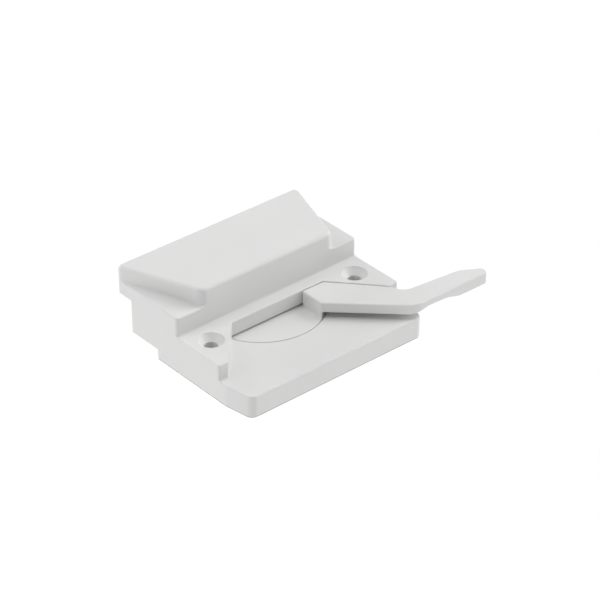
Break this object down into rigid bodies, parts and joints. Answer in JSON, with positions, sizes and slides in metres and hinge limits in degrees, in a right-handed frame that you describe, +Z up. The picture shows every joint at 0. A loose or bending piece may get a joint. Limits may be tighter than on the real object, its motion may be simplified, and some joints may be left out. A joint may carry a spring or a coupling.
{
  "type": "stair gate latch",
  "caption": "Surface-mounted stair gate latch whose sweep lever turns a hook cam out of the rear face, in a stepped moulded housing.",
  "frame": {"origin": "where the lever's turning axis meets the flat underside that is screwed to the gate frame", "axes": "+X to the right along the body's width, towards the lever's tip; +Y to the rear, the way the hook cam comes out; +Z up, out of the surface that the latch is fixed to"},
  "size_m": [0.1138, 0.0744, 0.03],
  "materials": {
    "white_plastic": "satin moulded white",
    "acetal": "natural, slippery",
    "zinc_steel": "bright zinc plate",
    "spring_steel": "blued spring steel",
    "screw_steel": "plain plated"
  },
  "bodies": {
    "body": {"housing": "white_plastic", "base_plate": "white_plastic", "lower_bush": "acetal", "upper_bush": "acetal", "wave_washer": "spring_steel", "detent_spring": "spring_steel", "spring_screw_1": "screw_steel", "spring_screw_2": "screw_steel", "plate_screw_1": "screw_steel", "plate_screw_2": "screw_steel", "plate_screw_3": "screw_steel", "plate_screw_4": "screw_steel"},
    "rotor": {"lever": "white_plastic", "spindle": "zinc_steel", "cam": "zinc_steel"}
  },
  "joints": [
    {"name": "lever_turn", "type": "hinge", "parent": "body", "child": "rotor", "pos_m": [0, 0, 0.0086], "axis": [0, 0, 1], "range_deg": [-90, 0]}
  ]
}
